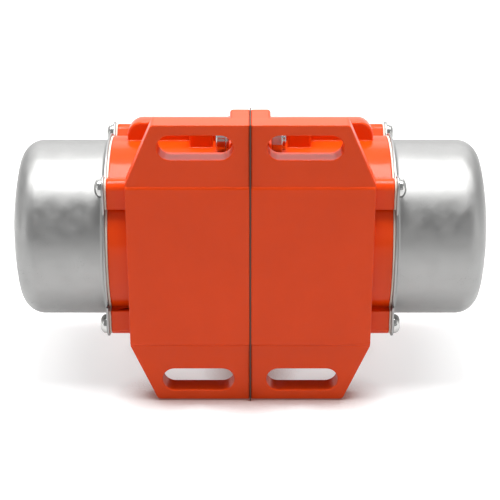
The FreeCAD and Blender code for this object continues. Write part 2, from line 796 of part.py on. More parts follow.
def stator_winding():
    near_turns, far_turns = both_ends(end_turns())
    return near_turns.multiFuse(ring_of(stator_slot(slot_liner), stator_slot_count) + [far_turns])


# Cable gland

def gland_body():
    hexagon = hexagonal_prism(gland_hex_flats, FreeCAD.Vector(gland_x, gland_face_y, 0),
                              FreeCAD.Vector(0, gland_hex_height, 0))
    thread_end_y = gland_face_y - gland_thread_length
    body = hexagon.multiFuse([y_cylinder(gland_thread_radius, thread_end_y, gland_face_y, gland_x),
                              y_cylinder(gland_neck_radius, gland_hex_end_y, gland_neck_end_y, gland_x)])
    return body.cut(y_cylinder(gland_bore_radius, thread_end_y, gland_neck_end_y, gland_x))


def gland_nut():
    # A cap nut whose far end closes in to a lip.
    shoulder_y = gland_nut_y + gland_nut_hex_length
    hexagon = hexagonal_prism(gland_nut_flats, FreeCAD.Vector(gland_x, gland_nut_y, 0),
                              FreeCAD.Vector(0, gland_nut_hex_length, 0))
    cap = Part.makeCone(gland_nut_flats / 2, gland_bore_radius + gland_nut_lip, gland_nut_end_y - shoulder_y,
                        FreeCAD.Vector(gland_x, shoulder_y, 0), Y_AXIS)
    hollow = y_cylinder(gland_neck_radius + running_clearance, gland_nut_y,
                        gland_neck_end_y + running_clearance, gland_x)
    mouth = y_cylinder(gland_bore_radius, gland_nut_y, gland_nut_end_y, gland_x)
    return hexagon.fuse(cap).cut(hollow).cut(mouth)


def gland_seal():
    return y_tube(gland_bore_radius, cable_hole_radius, gland_hex_end_y, gland_nut_end_y, gland_x)


def save(name, shapes):
    shape = shapes[0] if len(shapes) == 1 else Part.makeCompound(shapes)
    if not shape.isValid():
        raise ValueError(name + " is not a valid shape")
    shape.exportStep("parts/" + name + ".step")


def save_pair(name, shapes):
    # The right-hand piece is modelled, and the left-hand one is its mirror image.
    save("right_" + name, shapes)
    save("left_" + name, [mirror_x(piece) for piece in shapes])


os.makedirs("parts", exist_ok=True)
save("right_housing", [housing_half(True)])
save("left_housing", [mirror_x(housing_half(False))])
save("centre_gasket", [centre_gasket()])
save_pair("end_gasket", [end_gasket()])
save_pair("cover", [cover()])
save_pair("cover_screws", [cover_screw(y, z) for y, z in ear_screw_places()])
save("clamp_bolts", [clamp_bolt(y, z) for y, z in clamp_bolt_places()])
save("clamp_nuts", [clamp_nut(y, z) for y, z in clamp_bolt_places()])
save("clamp_washers", [clamp_washer(y, z) for y, z in clamp_bolt_places()])
save_pair("bearing_outer_ring", [bearing_outer_ring()])
save_pair("bearing_inner_ring", [bearing_inner_ring()])
save_pair("bearing_seals", bearing_seals())
save("bearing_circlips", both_ends(bearing_circlip()))
save("rotor_shaft", [shaft()])
save("shaft_spacers", both_ends(spacer()))
save("rotor_core", [rotor_core()])
save("rotor_end_rings", both_ends(rotor_end_ring()))
save_pair("fixed_weight", [fixed_weight()])
save("weight_keys", both_ends(key_block()))
save_pair("adjustable_weight", [adjustable_weight()])
save_pair("weight_set_screw", [set_screw()])
save("shaft_circlips", both_ends(shaft_circlip()))
save("stator_core", [stator_core()])
save("stator_winding", [stator_winding()])
save("gland_body", [gland_body()])
save("gland_nut", [gland_nut()])
save("gland_seal", [gland_seal()])
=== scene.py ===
import json
import math
import bmesh
import bpy
from mathutils import Matrix, Vector


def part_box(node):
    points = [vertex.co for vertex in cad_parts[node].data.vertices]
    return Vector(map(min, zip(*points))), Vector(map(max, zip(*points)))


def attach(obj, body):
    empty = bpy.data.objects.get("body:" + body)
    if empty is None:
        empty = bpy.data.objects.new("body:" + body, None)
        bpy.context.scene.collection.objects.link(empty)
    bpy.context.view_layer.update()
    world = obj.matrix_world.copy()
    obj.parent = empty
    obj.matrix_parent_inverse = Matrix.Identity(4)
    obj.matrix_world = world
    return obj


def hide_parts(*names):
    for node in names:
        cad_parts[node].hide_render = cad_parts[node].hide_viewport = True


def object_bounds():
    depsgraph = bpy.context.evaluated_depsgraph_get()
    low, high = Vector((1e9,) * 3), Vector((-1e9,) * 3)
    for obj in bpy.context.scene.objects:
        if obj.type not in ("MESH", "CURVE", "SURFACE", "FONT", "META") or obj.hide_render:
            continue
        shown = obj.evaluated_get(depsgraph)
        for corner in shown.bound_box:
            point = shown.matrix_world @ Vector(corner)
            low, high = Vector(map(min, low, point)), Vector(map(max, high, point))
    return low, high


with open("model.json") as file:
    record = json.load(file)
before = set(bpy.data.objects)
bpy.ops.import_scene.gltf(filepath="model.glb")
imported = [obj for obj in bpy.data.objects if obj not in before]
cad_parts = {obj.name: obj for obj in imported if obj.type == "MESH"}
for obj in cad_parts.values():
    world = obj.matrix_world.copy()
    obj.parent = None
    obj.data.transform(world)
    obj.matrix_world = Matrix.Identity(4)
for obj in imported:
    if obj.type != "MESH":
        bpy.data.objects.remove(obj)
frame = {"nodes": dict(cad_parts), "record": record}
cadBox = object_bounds()
nodes = frame["nodes"]
mm = 0.001
shaftLow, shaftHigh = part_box("rotor_shaft")
shaftY = (shaftLow.y + shaftHigh.y) / 2  # how far the shaft lies behind the sole
print("frame loaded:", len(nodes), "nodes")


# Helpers for the studio, the materials and the pieces
def addObject(name, data):
    added = bpy.data.objects.new(name, data)
    bpy.context.scene.collection.objects.link(added)
    return added


def storeMesh(name, mesh):
    data = bpy.data.meshes.new(name)
    mesh.to_mesh(data)
    mesh.free()
    return data


def addNode(tree, kind, values=None, **settings):
    # The settings come first, because a Mix node's sockets follow its data type
    node = tree.nodes.new(kind)
    for key, value in settings.items():
        setattr(node, key, value)
    for key, value in (values or {}).items():
        node.inputs[key].default_value = value
    return node


def joinValues(tree, first, second, operation):
    join = addNode(tree, "ShaderNodeMath", operation=operation)
    tree.links.new(first, join.inputs[0])
    tree.links.new(second, join.inputs[1])
    return join.outputs[0]


# Camera: the place and lens that the photograph was taken with, seen from the upright sole
cameraView = {"place": (0, -0.5551, 0.2709), "pitchDown": 25.31, "lens": 110.9,
              "shift": -0.0006, "farthest": 20}


def addCamera(settings):
    data = bpy.data.cameras.new("camera")
    data.lens = settings["lens"]
    data.shift_x = settings["shift"]
    data.clip_end = settings["farthest"]
    camera = addObject("camera", data)
    camera.location = settings["place"]
    camera.rotation_euler = (math.radians(90 - settings["pitchDown"]), 0, 0)
    bpy.context.scene.camera = camera


addCamera(cameraView)


# Studio: a white table, a dim room, and box lights above, behind, in front and at both sides
white = (1, 1, 1, 1)
studio = {
    "floorSize": 3.0,
    "floorDrop": 0.0002,
    "floorColour": (0.55, 0.55, 0.55, 1),
    "floorRoughness": 0.9,
    "floorSpecular": 0.1,
    "floorGlow": 0.56,
    "glowReach": (0.3, 1.1),
    # The table's painted contact shadow at the foot, whose colour holds a painted reflection of the
    # orange paint
    "contactReach": 0.018,
    "paintedContactShade": (0.3, 0.13, 0.11, 1),
    "contactSamples": 4,
    "openAtWall": 0.5,  # the share of the sky left open right in front of a wall
    "roomFront": (0.4, 0.4, 0.403, 1),
    "roomBack": (0.38, 0.38, 0.38, 1),
    "roomTurn": (-0.5, 0.6),
    "lamps": [
        {"name": "top", "place": (0, 0.06, 0.85), "aim": (0, 0.05, 0),
         "size": (0.42, 0.46), "power": 10.5},
        {"name": "topLeft", "place": (-0.45, 0.06, 0.75), "aim": (0, 0.05, 0),
         "size": (0.3, 0.4), "power": 2.4},
        {"name": "topRight", "place": (0.45, 0.06, 0.75), "aim": (0, 0.05, 0),
         "size": (0.3, 0.4), "power": 2.4},
        {"name": "back", "place": (0, 1.05, 0.62), "aim": (0, 0.05, 0),
         "size": (1.7, 0.45), "power": 4.0},
        {"name": "front", "place": (0.5, -1.15, 0.35), "aim": (0, 0, 0),
         "size": (0.9, 0.3), "power": 0.35},
        {"name": "left", "place": (-0.85, -0.3, 0.12), "aim": (0, 0.04, 0),
         "size": (0.35, 0.7), "power": 1.2},
        {"name": "right", "place": (0.85, -0.3, 0.12), "aim": (0, 0.04, 0),
         "size": (0.35, 0.7), "power": 1.2},
    ],
}


def mirrorRays(tree, path):
    # 1 for the rays that a gloss or a glass sends on
    return joinValues(tree, path.outputs["Is Glossy Ray"], path.outputs["Is Transmission Ray"],
                      "MAXIMUM")


def addWorld(settings):
    world = bpy.data.worlds.new("studioWorld")
    bpy.context.scene.world = world
    world.use_nodes = True
    tree = world.node_tree
    tree.nodes.clear()
    link = tree.links.new
    turnStart, turnEnd = settings["roomTurn"]
    output = addNode(tree, "ShaderNodeOutputWorld")
    light = addNode(tree, "ShaderNodeBackground")
    bright = addNode(tree, "ShaderNodeBackground", {"Color": white})
    mix = addNode(tree, "ShaderNodeMixShader")
    path = addNode(tree, "ShaderNodeLightPath")
    coords = addNode(tree, "ShaderNodeTexCoord")
    split = addNode(tree, "ShaderNodeSeparateXYZ")
    ramp = addNode(tree, "ShaderNodeMapRange", {"From Min": turnStart, "From Max": turnEnd},
                   interpolation_type="SMOOTHSTEP")
    colour = addNode(tree, "ShaderNodeMix", {"A": settings["roomFront"], "B": settings["roomBack"]},
                     data_type="RGBA")
    link(coords.outputs["Generated"], split.inputs["Vector"])
    link(split.outputs["Y"], ramp.inputs["Value"])
    link(ramp.outputs["Result"], colour.inputs["Factor"])
    link(colour.outputs["Result"], light.inputs["Color"])
    # The camera sees white all round, and gloss and glass see it behind the object
    behind = joinValues(tree, mirrorRays(tree, path), ramp.outputs["Result"], "MULTIPLY")
    seen = joinValues(tree, path.outputs["Is Camera Ray"], behind, "MAXIMUM")
    link(seen, mix.inputs["Fac"])
    link(light.outputs["Background"], mix.inputs[1])
    link(bright.outputs["Background"], mix.inputs[2])
    link(mix.outputs["Shader"], output.inputs["Surface"])


def addLamp(settings):
    data = bpy.data.lights.new(settings["name"], "AREA")
    data.shape = "RECTANGLE"
    data.size, data.size_y = settings["size"]
    data.energy = settings["power"]
    lamp = addObject(settings["name"], data)
    lamp.location = settings["place"]
    direction = Vector(settings["aim"]) - lamp.location
    lamp.rotation_euler = direction.to_track_quat("-Z", "Y").to_euler()


def makeFloorWhite(settings):
    material = bpy.data.materials.new("floorWhite")
    material.use_nodes = True
    tree = material.node_tree
    link = tree.links.new
    shader = tree.nodes["Principled BSDF"]
    shader.inputs["Roughness"].default_value = settings["floorRoughness"]
    shader.inputs["Specular IOR Level"].default_value = settings["floorSpecular"]
    # Painted contact shadow: an occlusion test darkens the table right at the foot, tinted with a
    # painted reflection of the orange paint
    nearby = addNode(tree, "ShaderNodeAmbientOcclusion", {"Distance": settings["contactReach"]},
                     samples=settings["contactSamples"])
    contact = addNode(tree, "ShaderNodeMapRange", {"From Min": settings["openAtWall"]})
    shade = addNode(tree, "ShaderNodeMix", {"A": settings["paintedContactShade"], "B": white},
                    data_type="RGBA")
    tint = addNode(tree, "ShaderNodeMix", {"Factor": 1.0, "A": settings["floorColour"]},
                   data_type="RGBA", blend_type="MULTIPLY")
    link(nearby.outputs["AO"], contact.inputs["Value"])
    link(contact.outputs["Result"], shade.inputs["Factor"])
    link(shade.outputs["Result"], tint.inputs["B"])
    link(tint.outputs["Result"], shader.inputs["Base Color"])
    # What the lamps leave short of white is added for the rays that look at the table
    glowStart, glowEnd = settings["glowReach"]
    path = addNode(tree, "ShaderNodeLightPath")
    glow = addNode(tree, "ShaderNodeEmission")
    coords = addNode(tree, "ShaderNodeTexCoord")
    away = addNode(tree, "ShaderNodeVectorMath", operation="LENGTH")
    ramp = addNode(tree, "ShaderNodeMapRange", {"From Min": glowStart, "From Max": glowEnd,
                                                "To Min": settings["floorGlow"]})
    both = addNode(tree, "ShaderNodeAddShader")
    link(coords.outputs["Object"], away.inputs[0])
    link(away.outputs["Value"], ramp.inputs["Value"])
    seen = joinValues(tree, path.outputs["Is Camera Ray"], mirrorRays(tree, path), "MAXIMUM")
    link(joinValues(tree, seen, ramp.outputs["Result"], "MULTIPLY"), glow.inputs["Strength"])
    # The painted contact shadow darkens the table's glow as well
    link(shade.outputs["Result"], glow.inputs["Color"])
    link(shader.outputs["BSDF"], both.inputs[0])
    link(glow.outputs["Emission"], both.inputs[1])
    link(both.outputs["Shader"], tree.nodes["Material Output"].inputs["Surface"])
    return material


def addFloor(settings):
    mesh = bmesh.new()
    bmesh.ops.create_grid(mesh, x_segments=1, y_segments=1, size=settings["floorSize"])
    bmesh.ops.translate(mesh, verts=mesh.verts, vec=(0, 0, cadBox[0].z - settings["floorDrop"]))
    floor = addObject("floor", storeMesh("floor", mesh))
    floor.data.materials.append(makeFloorWhite(settings))


addWorld(studio)
for lampSettings in studio["lamps"]:
    addLamp(lampSettings)
addFloor(studio)
print("studio set")


# Shader node groups: each effect is built once and placed in several materials
perMetre = 1000.0  # divided by a size in millimetres it gives a noise scale


def newGroup(name, inputs, outputs):
    tree = bpy.data.node_groups.new(name, "ShaderNodeTree")
    for label, value in inputs.items():
        socket = tree.interface.new_socket(name=label, in_out="INPUT",
                                           socket_type="NodeSocketFloat")
        socket.default_value = value
    for label in outputs:
        tree.interface.new_socket(name=label, in_out="OUTPUT", socket_type="NodeSocketFloat")
    return tree, tree.nodes.new("NodeGroupInput"), tree.nodes.new("NodeGroupOutput")


speckleShape = {"roughness": 0.55, "grainDetail": 3.0, "cloudDetail": 4.0, "middle": 0.5}


def makeSpeckle(shape):
    # Two scales of noise in object space: a fine grain for bump, and clouds around 1 for colour
    # and gloss
    tree, start, end = newGroup("surfaceSpeckle",
                                {"Grain Size": 1.0, "Cloud Size": 12.0, "Cloud Spread": 0.1},
                                ["Grain", "Clouds"])
    link = tree.links.new
    coords = addNode(tree, "ShaderNodeTexCoord")
    found = {}
    for size, detail in (("Grain Size", "grainDetail"), ("Cloud Size", "cloudDetail")):
        scale = addNode(tree, "ShaderNodeMath", {0: perMetre}, operation="DIVIDE")
        noise = addNode(tree, "ShaderNodeTexNoise", {"Detail": shape[detail],
                                                     "Roughness": shape["roughness"]})
        link(start.outputs[size], scale.inputs[1])
        link(coords.outputs["Object"], noise.inputs["Vector"])
        link(scale.outputs[0], noise.inputs["Scale"])
        found[size] = noise.outputs["Fac"]
    link(found["Grain Size"], end.inputs["Grain"])
    centred = addNode(tree, "ShaderNodeMath", {1: shape["middle"]}, operation="SUBTRACT")
    around = addNode(tree, "ShaderNodeMath", {1: 1.0}, operation="ADD")
    link(found["Cloud Size"], centred.inputs[0])
    spread = joinValues(tree, centred.outputs[0], start.outputs["Cloud Spread"], "MULTIPLY")
    link(spread, around.inputs[0])
    link(around.outputs[0], end.inputs["Clouds"])
    return tree


ringShape = {"detail": 2.0, "roughness": 0.6}


def makeTurnedLines(shape):
    # Fine rings round the shaft's axis, as a lathe or a drawing die leaves them
    tree, start, end = newGroup("turnedLines", {"Line Width": 0.3, "Axis Y": 0.0}, ["Lines"])
    link = tree.links.new
    coords = addNode(tree, "ShaderNodeTexCoord")
    split = addNode(tree, "ShaderNodeSeparateXYZ")
    flat = addNode(tree, "ShaderNodeCombineXYZ")
    radius = addNode(tree, "ShaderNodeVectorMath", operation="LENGTH")
    place = addNode(tree, "ShaderNodeCombineXYZ")
    scale = addNode(tree, "ShaderNodeMath", {0: perMetre}, operation="DIVIDE")
    noise = addNode(tree, "ShaderNodeTexNoise", {"Detail": shape["detail"],
                                                 "Roughness": shape["roughness"]})
    link(coords.outputs["Object"], split.inputs["Vector"])
    across = joinValues(tree, split.outputs["Y"], start.outputs["Axis Y"], "SUBTRACT")
    link(across, flat.inputs["Y"])
    link(split.outputs["Z"], flat.inputs["Z"])
    link(flat.outputs["Vector"], radius.inputs[0])
    link(split.outputs["X"], place.inputs["X"])
    link(radius.outputs["Value"], place.inputs["Y"])
    link(start.outputs["Line Width"], scale.inputs[1])
    link(place.outputs["Vector"], noise.inputs["Vector"])
    link(scale.outputs[0], noise.inputs["Scale"])
    link(noise.outputs["Fac"], end.inputs["Lines"])
    return tree


scuffShape = {"turn": (0.3, 0.5, 0.9),
              "fineDetail": 1.0, "distortion": 0.4, "fineBand": (0.64, 0.72),
              "patchScale": 90.0, "patchDetail": 2.0, "patchBand": (0.5, 0.66)}


def makeScuffs(shape):
    # Sparse hairline scratches: thin bands of a stretched noise, kept where a broad noise is high
    tree, start, end = newGroup("hairScuffs", {"Length": 8.0, "Width": 0.4, "Amount": 0.4},
                                ["Scuffs"])
    link = tree.links.new
    coords = addNode(tree, "ShaderNodeTexCoord")
    turn = addNode(tree, "ShaderNodeMapping", {"Rotation": shape["turn"]})
    along = addNode(tree, "ShaderNodeMath", {0: perMetre}, operation="DIVIDE")
    across = addNode(tree, "ShaderNodeMath", {0: perMetre}, operation="DIVIDE")
    stretch = addNode(tree, "ShaderNodeCombineXYZ")
    place = addNode(tree, "ShaderNodeVectorMath", operation="MULTIPLY")
    fine = addNode(tree, "ShaderNodeTexNoise", {"Scale": 1.0, "Detail": shape["fineDetail"],
                                                "Distortion": shape["distortion"]})
    patch = addNode(tree, "ShaderNodeTexNoise", {"Scale": shape["patchScale"],
                                                 "Detail": shape["patchDetail"]})
    thin, keep = [addNode(tree, "ShaderNodeMapRange", {"From Min": low, "From Max": high})
                  for low, high in (shape["fineBand"], shape["patchBand"])]
    link(coords.outputs["Object"], turn.inputs["Vector"])
    link(start.outputs["Length"], along.inputs[1])
    link(start.outputs["Width"], across.inputs[1])
    link(along.outputs[0], stretch.inputs["X"])
    link(across.outputs[0], stretch.inputs["Y"])
    link(across.outputs[0], stretch.inputs["Z"])
    link(turn.outputs["Vector"], place.inputs[0])
    link(stretch.outputs["Vector"], place.inputs[1])
    link(place.outputs["Vector"], fine.inputs["Vector"])
    link(coords.outputs["Object"], patch.inputs["Vector"])
    link(fine.outputs["Fac"], thin.inputs["Value"])
    link(patch.outputs["Fac"], keep.inputs["Value"])
    both = joinValues(tree, thin.outputs["Result"], keep.outputs["Result"], "MULTIPLY")
    link(joinValues(tree, both, start.outputs["Amount"], "MULTIPLY"), end.inputs["Scuffs"])
    return tree


speckle = makeSpeckle(speckleShape)
turnedLines = makeTurnedLines(ringShape)
scuffs = makeScuffs(scuffShape)
print("node groups made")


# Materials: helpers that several of them use
def startMaterial(name, constants):
    material = bpy.data.materials.new(name)
    material.use_nodes = True
    tree = material.node_tree
    shader = tree.nodes["Principled BSDF"]
    for key, value in constants.items():
        shader.inputs[key].default_value = value
    return material, tree, shader


def placeGroup(tree, group, values):
    return addNode(tree, "ShaderNodeGroup", values, node_tree=group)


def placeSpeckle(tree, look):
    return placeGroup(tree, speckle, {"Grain Size": look["grainSize"],
                                      "Cloud Size": look["cloudSize"],
                                      "Cloud Spread": look["cloudSpread"]})


def placeRings(tree, width):
    return placeGroup(tree, turnedLines, {"Line Width": width, "Axis Y": shaftY})


def tintByClouds(tree, shader, clouds, colour, share):
    tint = addNode(tree, "ShaderNodeMix", {"Factor": share, "A": colour},
                   data_type="RGBA", blend_type="MULTIPLY")
    tree.links.new(clouds, tint.inputs["B"])
    tree.links.new(tint.outputs["Result"], shader.inputs["Base Color"])


def dullByClouds(tree, shader, clouds, roughness):
    gloss = addNode(tree, "ShaderNodeMath", {1: roughness}, operation="MULTIPLY", use_clamp=True)
    tree.links.new(clouds, gloss.inputs[0])
    tree.links.new(gloss.outputs[0], shader.inputs["Roughness"])
    return gloss.outputs[0]


def addScuffs(tree, shader, gloss, look):
    hairs = placeGroup(tree, scuffs, {"Length": look["scuffLength"], "Width": look["scuffWidth"],
                                      "Amount": look["scuffAmount"]})
    dull = addNode(tree, "ShaderNodeMath", operation="ADD", use_clamp=True)
    tree.links.new(gloss, dull.inputs[0])
    tree.links.new(hairs.outputs["Scuffs"], dull.inputs[1])
    tree.links.new(dull.outputs[0], shader.inputs["Roughness"])


def addBump(tree, shader, height, look):
    bump = addNode(tree, "ShaderNodeBump", {"Distance": look["grainDepth"] * mm,
                                            "Strength": look["bumpStrength"]})
    tree.links.new(height, bump.inputs["Height"])
    tree.links.new(bump.outputs["Normal"], shader.inputs["Normal"])


paintLook = {"colour": (0.68, 0.05, 0.001, 1), "roughness": 0.4, "specular": 0.09, "coat": 0.23,
             "coatRoughness": 0.12, "grainSize": 1.3, "grainDepth": 0.02, "bumpStrength": 0.5,
             "cloudSize": 26.0, "cloudSpread": 0.16}


def makePaint(look):
    # Gloss enamel over a casting, with a faint orange peel
    material, tree, shader = startMaterial("orangeEnamel", {
        "Metallic": 0.0, "Specular IOR Level": look["specular"], "Coat Weight": look["coat"],
        "Coat Roughness": look["coatRoughness"]})
    marks = placeSpeckle(tree, look)
    tintByClouds(tree, shader, marks.outputs["Clouds"], look["colour"], 1.0)
    dullByClouds(tree, shader, marks.outputs["Clouds"], look["roughness"])
    addBump(tree, shader, marks.outputs["Grain"], look)
    return material


drawnSteelLook = {"colour": (0.3, 0.3, 0.296, 1), "roughness": 0.47, "tintShare": 0.14,
                  "grainSize": 0.5, "grainDepth": 0.012, "bumpStrength": 0.6,
                  "cloudSize": 6.0, "cloudSpread": 0.9, "lineWidth": 0.4, "lineShare": 0.5,
                  "scuffLength": 9.0, "scuffWidth": 0.35, "scuffAmount": 0.25}


def makeDrawnSteel(look):
    # Drawn stainless sheet: mottled satin with faint rings from the die and hairline scuffs
    material, tree, shader = startMaterial("drawnSteel", {"Metallic": 1.0})
    marks = placeSpeckle(tree, look)
    rings = placeRings(tree, look["lineWidth"])
    height = addNode(tree, "ShaderNodeMix", {"Factor": look["lineShare"]})
    tintByClouds(tree, shader, marks.outputs["Clouds"], look["colour"], look["tintShare"])
    gloss = dullByClouds(tree, shader, marks.outputs["Clouds"], look["roughness"])
    addScuffs(tree, shader, gloss, look)
    tree.links.new(marks.outputs["Grain"], height.inputs["A"])
    tree.links.new(rings.outputs["Lines"], height.inputs["B"])
    addBump(tree, shader, height.outputs["Result"], look)
    return material


metalMarks = {"cloudSize": 5.0, "cloudSpread": 0.25, "bumpStrength": 0.5,
              "scuffLength": 4.0, "scuffWidth": 0.2, "scuffAmount": 0.1}
metalLooks = {
    "screw_steel": {"name": "brightScrew", "colour": (0.46, 0.46, 0.45, 1), "roughness": 0.17,
                    "grainSize": 0.4, "grainDepth": 0.004},
    "bearing_steel": {"name": "groundSteel", "colour": (0.6, 0.6, 0.61, 1), "roughness": 0.14,
                      "grainSize": 0.25, "grainDepth": 0.002, "turned": True},
    "spring_steel": {"name": "blackedSteel", "colour": (0.09, 0.09, 0.095, 1), "roughness": 0.38,
                     "grainSize": 0.4, "grainDepth": 0.006},
    "shaft_steel": {"name": "turnedSteel", "colour": (0.5, 0.5, 0.505, 1), "roughness": 0.27,
                    "grainSize": 0.3, "grainDepth": 0.006, "turned": True},
    "core_steel": {"name": "stackedSheet", "colour": (0.22, 0.225, 0.24, 1), "roughness": 0.46,
                   "grainSize": 0.5, "grainDepth": 0.03, "turned": True},
    "cage_aluminium": {"name": "castCage", "colour": (0.7, 0.7, 0.71, 1), "roughness": 0.42,
                       "grainSize": 0.6, "grainDepth": 0.02},
    "weight_iron": {"name": "rawIron", "colour": (0.17, 0.165, 0.16, 1), "roughness": 0.55,
                    "grainSize": 0.8, "grainDepth": 0.05},
    "winding_copper": {"name": "enamelledCopper", "colour": (0.42, 0.12, 0.04, 1),
                       "roughness": 0.3, "grainSize": 0.4, "grainDepth": 0.03},
    "gland_metal": {"name": "nickelPlate", "colour": (0.42, 0.405, 0.375, 1), "roughness": 0.27,
                    "grainSize": 0.4, "grainDepth": 0.003},
}
clampLook = {"name": "dulledClamp", "colour": (0.5, 0.5, 0.495, 1), "roughness": 0.24,
             "grainSize": 0.5, "grainDepth": 0.008}


def makeMetal(look):
    # Bare metal with a fine grain, or with rings where it was turned or ground
    look = {**metalMarks, **look}
    material, tree, shader = startMaterial(look["name"], {"Metallic": 1.0})
    marks = placeSpeckle(tree, look)
    tintByClouds(tree, shader, marks.outputs["Clouds"], look["colour"], 1.0)
    gloss = dullByClouds(tree, shader, marks.outputs["Clouds"], look["roughness"])
    addScuffs(tree, shader, gloss, look)
    height = marks.outputs["Grain"]
    if look.get("turned"):
        height = placeRings(tree, look["grainSize"]).outputs["Lines"]
    addBump(tree, shader, height, look)
    return material


dullMarks = {"cloudSize": 6.0, "cloudSpread": 0.3, "bumpStrength": 0.6}
dullLooks = {
    "gasket_rubber": {"name": "fibreGasket", "colour": (0.075, 0.034, 0.022, 1),
                      "roughness": 0.62, "grainSize": 0.5, "grainDepth": 0.03},
    "seal_rubber": {"name": "blackRubber", "colour": (0.018, 0.018, 0.019, 1),
                    "roughness": 0.58, "grainSize": 0.4, "grainDepth": 0.02},
}
endGasketLook = {"name": "paleFibre", "colour": (0.66, 0.62, 0.54, 1), "roughness": 0.7,
                 "grainSize": 0.5, "grainDepth": 0.03}


def makeDull(look):
    # Rubber and fibre board
    look = {**dullMarks, **look}
    material, tree, shader = startMaterial(look["name"], {"Metallic": 0.0})
    marks = placeSpeckle(tree, look)
    tintByClouds(tree, shader, marks.outputs["Clouds"], look["colour"], 1.0)
    dullByClouds(tree, shader, marks.outputs["Clouds"], look["roughness"])
    addBump(tree, shader, marks.outputs["Grain"], look)
    return material


looks = {"housing_paint": makePaint(paintLook), "cover_steel": makeDrawnSteel(drawnSteelLook)}
for slotName, slotLook in metalLooks.items():
    looks[slotName] = makeMetal(slotLook)
for slotName, slotLook in dullLooks.items():
    looks[slotName] = makeDull(slotLook)
clampMetal = makeMetal(clampLook)
paleFibre = makeDull(endGasketLook)
ownLooks = {"clamp_bolts": clampMetal, "clamp_nuts": clampMetal, "clamp_washers": clampMetal,
            "right_end_gasket": paleFibre, "left_end_gasket": paleFibre}
slotOf = {entry["node"]: entry["material_slot"] for entry in frame["record"]["subparts"]}
bodyOf = {name: body for body, names in frame["record"]["behaviour"]["bodies"].items()
          for name in names}
print("materials made:", len(looks))


def lookOf(name):
    return ownLooks.get(name, looks[slotOf[name]])


# Pieces: helpers that several of them use. Looks hold millimetres and degrees
pieceLook = {"weldGap": 0.002, "cutGap": 0.001, "poleGap": 0.0005, "flatWithin": 0.6,
             "frontDepth": 0.9, "smoothWithin": 40}


def partAcross(mesh, faces, x):
    # A seam across these faces keeps a hole in them from being a hole inside one face
    parts = faces + list({part for face in faces for part in face.edges[:] + face.verts[:]})
    cut = bmesh.ops.bisect_plane(mesh, geom=parts, dist=pieceLook["cutGap"] * mm,
                                 plane_co=(x, 0, 0), plane_no=(1, 0, 0))
    for part in cut["geom_cut"]:
        if isinstance(part, bmesh.types.BMEdge):
            part.seam = True


def weldedCopy(name, seamX=None):
    # A CAD node's triangles joined at their corners, with its flat faces whole again. A seam at
    # seamX stays in the faces at the front, which are the sole panel and the pads
    mesh = bmesh.new()
    mesh.from_mesh(nodes[name].data)
    bmesh.ops.remove_doubles(mesh, verts=mesh.verts, dist=pieceLook["weldGap"] * mm)
    if seamX:
        front = min(vert.co.y for vert in mesh.verts) + pieceLook["frontDepth"] * mm
        frontFaces = [face for face in mesh.faces
                      if max(vert.co.y for vert in face.verts) < front]
        partAcross(mesh, frontFaces, seamX)
    bmesh.ops.dissolve_limit(mesh, angle_limit=math.radians(pieceLook["flatWithin"]),
                             verts=mesh.verts, edges=mesh.edges, delimit={"SEAM"})
    return mesh


def roundEdges(mesh, edges, width, segments):
    bmesh.ops.bevel(mesh, geom=edges, offset=width * mm, offset_type="OFFSET", segments=segments,
                    profile=0.5, affect="EDGES", clamp_overlap=False, loop_slide=False,
                    material=-1)


def sharpEdges(mesh, degrees):
    return [edge for edge in mesh.edges
            if len(edge.link_faces) == 2 and edge.calc_face_angle(0) > math.radians(degrees)]


def newVerts(parts):
    return [part for part in parts if isinstance(part, bmesh.types.BMVert)]


def finishPiece(mesh, node, ending):
    # A piece that stands for a CAD node takes its place, its body and its finish
    name = node.replace("_", "-") + ending
    data = storeMesh(name, mesh)
    data.shade_smooth()
    data.set_sharp_from_angle(angle=math.radians(pieceLook["smoothWithin"]))
    data.materials.append(lookOf(node))
    piece = addObject(name, data)
    even = piece.modifiers.new("evenNormals", "WEIGHTED_NORMAL")
    even.keep_sharp = True
    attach(piece, bodyOf[node])
    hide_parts(node)


# Clamp bolts: lower heads than a full cap screw's, with a well rounded rim
clampBoltLook = {"headEnd": -15.9, "headCut": 1.8, "socketFloor": -12.9, "floorCut": 0.9,
                 "planeGap": 0.05, "rimFrom": 60, "rimLength": 1.5, "rimRound": 1.2,
                 "rimSegments": 5, "edgeFrom": 40, "edgeRound": 0.3, "edgeSegments": 2}


def addClampBolts(look, node):
    mesh = weldedCopy(node)
    gap = look["planeGap"] * mm
    for plane, cut in (("headEnd", "headCut"), ("socketFloor", "floorCut")):
        ring = [vert for vert in mesh.verts if abs(vert.co.x - look[plane] * mm) < gap]
        bmesh.ops.translate(mesh, vec=(look[cut] * mm, 0, 0), verts=ring)
    endX = (look["headEnd"] + look["headCut"]) * mm
    rim = [edge for edge in sharpEdges(mesh, look["rimFrom"])
           if all(abs(vert.co.x - endX) < gap for vert in edge.verts)
           and edge.calc_length() < look["rimLength"] * mm]
    roundEdges(mesh, rim, look["rimRound"], look["rimSegments"])
    roundEdges(mesh, sharpEdges(mesh, look["edgeFrom"]), look["edgeRound"], look["edgeSegments"])
    finishPiece(mesh, node, "-rounded")


addClampBolts(clampBoltLook, "clamp_bolts")
print("clamp bolts made")


# Castings, gaskets, nuts, washers, gland and weights keep their CAD shape, with small rounds.
# Each housing half has a seam through the middles of its slots
roundedLook = {"sharpFrom": 28, "segments": 2, "roomShare": 2.2}
edgeRounds = {
    "right_housing": 0.5, "left_housing": 0.5,
    "centre_gasket": 0.1, "right_end_gasket": 0.15, "left_end_gasket": 0.15,
    "clamp_nuts": 0.35, "clamp_washers": 0.3,
    "gland_body": 0.3, "gland_nut": 0.4, "gland_seal": 0.5,
    "right_fixed_weight": 0.6, "left_fixed_weight": 0.6,
    "right_adjustable_weight": 0.6, "left_adjustable_weight": 0.6,
}
slotCentres = {"right_housing": 22 * mm, "left_housing": -22 * mm}


